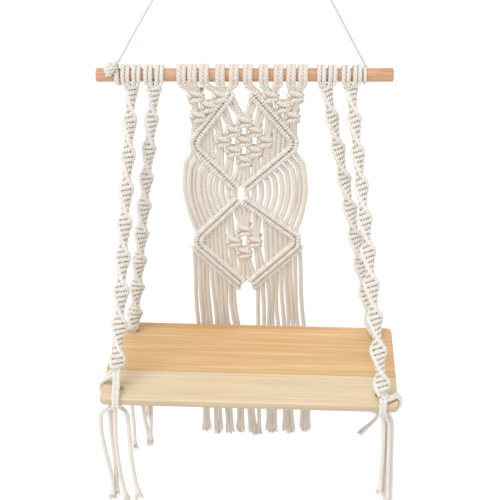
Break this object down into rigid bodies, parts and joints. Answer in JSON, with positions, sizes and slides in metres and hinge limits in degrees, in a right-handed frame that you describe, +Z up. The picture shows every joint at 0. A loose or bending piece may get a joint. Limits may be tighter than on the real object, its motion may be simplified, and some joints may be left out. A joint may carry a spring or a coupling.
{
  "type": "macrame wall shelf with wooden rod and board",
  "caption": "Macrame wall shelf: a wooden board slung from a rod by spiral cord straps, with a knotted diamond panel and fringe behind.",
  "frame": {"origin": "the hanging point, under the bend of the hanger cord where it rests on a nail or hook", "axes": "+Z up, +X along the rod to the right as seen from the front, -Y towards the front, +Y towards the wall"},
  "size_m": [0.4141, 0.2327, 0.894],
  "materials": {
    "cotton": "matt twisted cotton",
    "pine": "sanded, unvarnished",
    "peeled_wood": "smooth, unvarnished"
  },
  "bodies": {
    "root": {"rod": "peeled_wood", "board": "pine", "hanger_cord": "cotton", "panel": "cotton", "panel_fringe": "cotton", "strap_front_left": "cotton", "tails_front_left": "cotton", "strap_back_left": "cotton", "tails_back_left": "cotton", "strap_back_right": "cotton", "tails_back_right": "cotton", "strap_front_right": "cotton", "tails_front_right": "cotton"}
  },
  "joints": []
}
